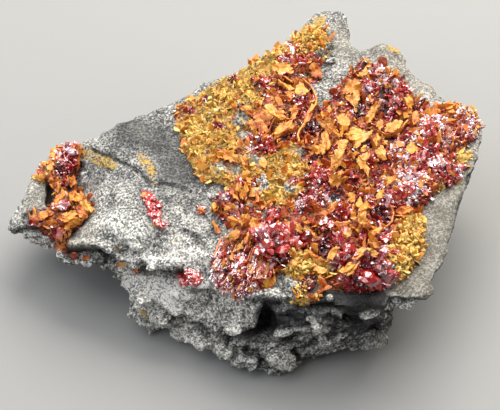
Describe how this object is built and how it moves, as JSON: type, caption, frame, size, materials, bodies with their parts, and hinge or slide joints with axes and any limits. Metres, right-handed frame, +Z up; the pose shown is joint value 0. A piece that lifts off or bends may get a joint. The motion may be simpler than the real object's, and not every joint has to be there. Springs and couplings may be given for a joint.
{
  "type": "realgar mineral specimen",
  "caption": "Broken slab of pale grey rock with a crust of red and orange realgar crystals on its upper side, resting on a flat break.",
  "frame": {"origin": "on the resting surface, under the middle of the specimen's bounding box", "axes": "+X towards the thick end that carries the main field of crystals, +Y towards the back peak, +Z up from the flat break"},
  "size_m": [0.0938, 0.0746, 0.0262],
  "materials": {
    "limestone": "rough broken rock, pale grey with fine dark grains",
    "realgar_crust": "glossy dark red crystals with matte orange plates and a yellow powdery bloom",
    "realgar": "glossy, translucent dark red crystal"
  },
  "bodies": {
    "root": {"matrix": "limestone", "realgar_field": "realgar_crust", "realgar_lobe_crust": "realgar_crust", "realgar_crystal_centre": "realgar", "realgar_crystal_front": "realgar", "realgar_crystal_side": "realgar"}
  },
  "joints": []
}
